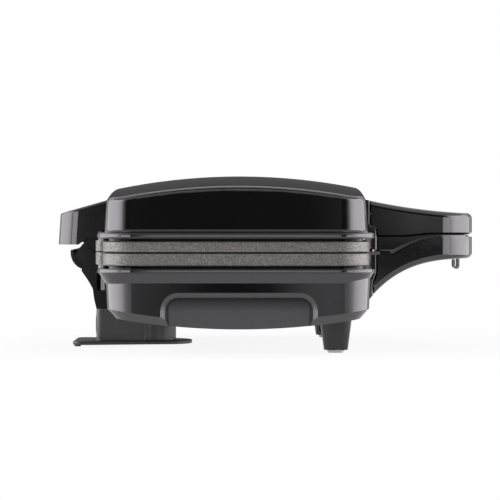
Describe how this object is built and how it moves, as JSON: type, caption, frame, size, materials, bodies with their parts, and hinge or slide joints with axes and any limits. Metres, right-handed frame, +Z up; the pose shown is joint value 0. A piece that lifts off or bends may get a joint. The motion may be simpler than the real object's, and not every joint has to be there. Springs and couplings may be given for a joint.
{
  "type": "sandwich maker",
  "caption": "Closed hinged sandwich maker: domed black lid and base, cast cooking plates, split front handle with a hook latch, rear hinge cover, cord store and feet.",
  "frame": {"origin": "on the surface it stands on, below the middle of the outer box of the closed appliance", "axes": "+X from the rear hinge towards the handles, +Y across the appliance, +Z up"},
  "size_m": [0.2464, 0.2334, 0.1024],
  "materials": {
    "gloss_black": "smooth glossy black moulding",
    "satin_black": "fine satin black moulding",
    "dark_grey": "fine textured dark grey moulding",
    "coated_casting": "die casting with a speckled dark grey non-stick coating",
    "bright_steel": "bright plated",
    "zinc_steel": "zinc plated",
    "heater_steel": "dull sheathed tube",
    "shield_sheet": "mill finish sheet",
    "red_lens": "clear tinted",
    "green_lens": "clear tinted",
    "lamp_glass": "clear",
    "pale_plastic": "plain cream moulding",
    "control_metal": "plain pressed metal",
    "off_white_rubber": "off-white",
    "black_rubber": "black"
  },
  "bodies": {
    "base": {"lower_housing": "gloss_black", "lower_plate": "coated_casting", "lower_heater": "heater_steel", "lower_heat_shield": "shield_sheet", "lower_plate_screws": "zinc_steel", "lower_handle": "gloss_black", "lower_handle_liner": "satin_black", "lower_handle_screws": "zinc_steel", "hinge_cradle": "satin_black", "hinge_pins": "bright_steel", "thermal_fuse": "control_metal", "terminal_block": "pale_plastic", "cord_store_column": "dark_grey", "cord_store_plate": "dark_grey", "cord_store_screws": "zinc_steel", "cord_gland": "black_rubber", "front_feet": "satin_black", "front_foot_pads": "off_white_rubber", "rear_foot_pads": "black_rubber"},
    "lid": {"upper_housing": "gloss_black", "upper_plate": "coated_casting", "upper_heater": "heater_steel", "upper_heat_shield": "shield_sheet", "upper_plate_screws": "zinc_steel", "upper_handle": "gloss_black", "upper_handle_liner": "satin_black", "upper_handle_screws": "zinc_steel", "hinge_cover": "gloss_black", "hinge_arms": "satin_black", "hinge_arm_screws": "zinc_steel", "power_lens": "red_lens", "ready_lens": "green_lens", "lamp_holder": "pale_plastic", "indicator_lamps": "lamp_glass", "thermostat": "control_metal", "latch_pin": "bright_steel"},
    "latch": {"latch_hook": "bright_steel"}
  },
  "joints": [
    {"name": "lid_hinge", "type": "hinge", "parent": "base", "child": "lid", "pos_m": [-0.1062, 0, 0.0556], "axis": [0, -1, 0], "range_deg": [0, 105]},
    {"name": "latch_swing", "type": "hinge", "parent": "lid", "child": "latch", "pos_m": [0.1144, 0, 0.073], "axis": [0, 1, 0], "range_deg": [0, 8]}
  ]
}
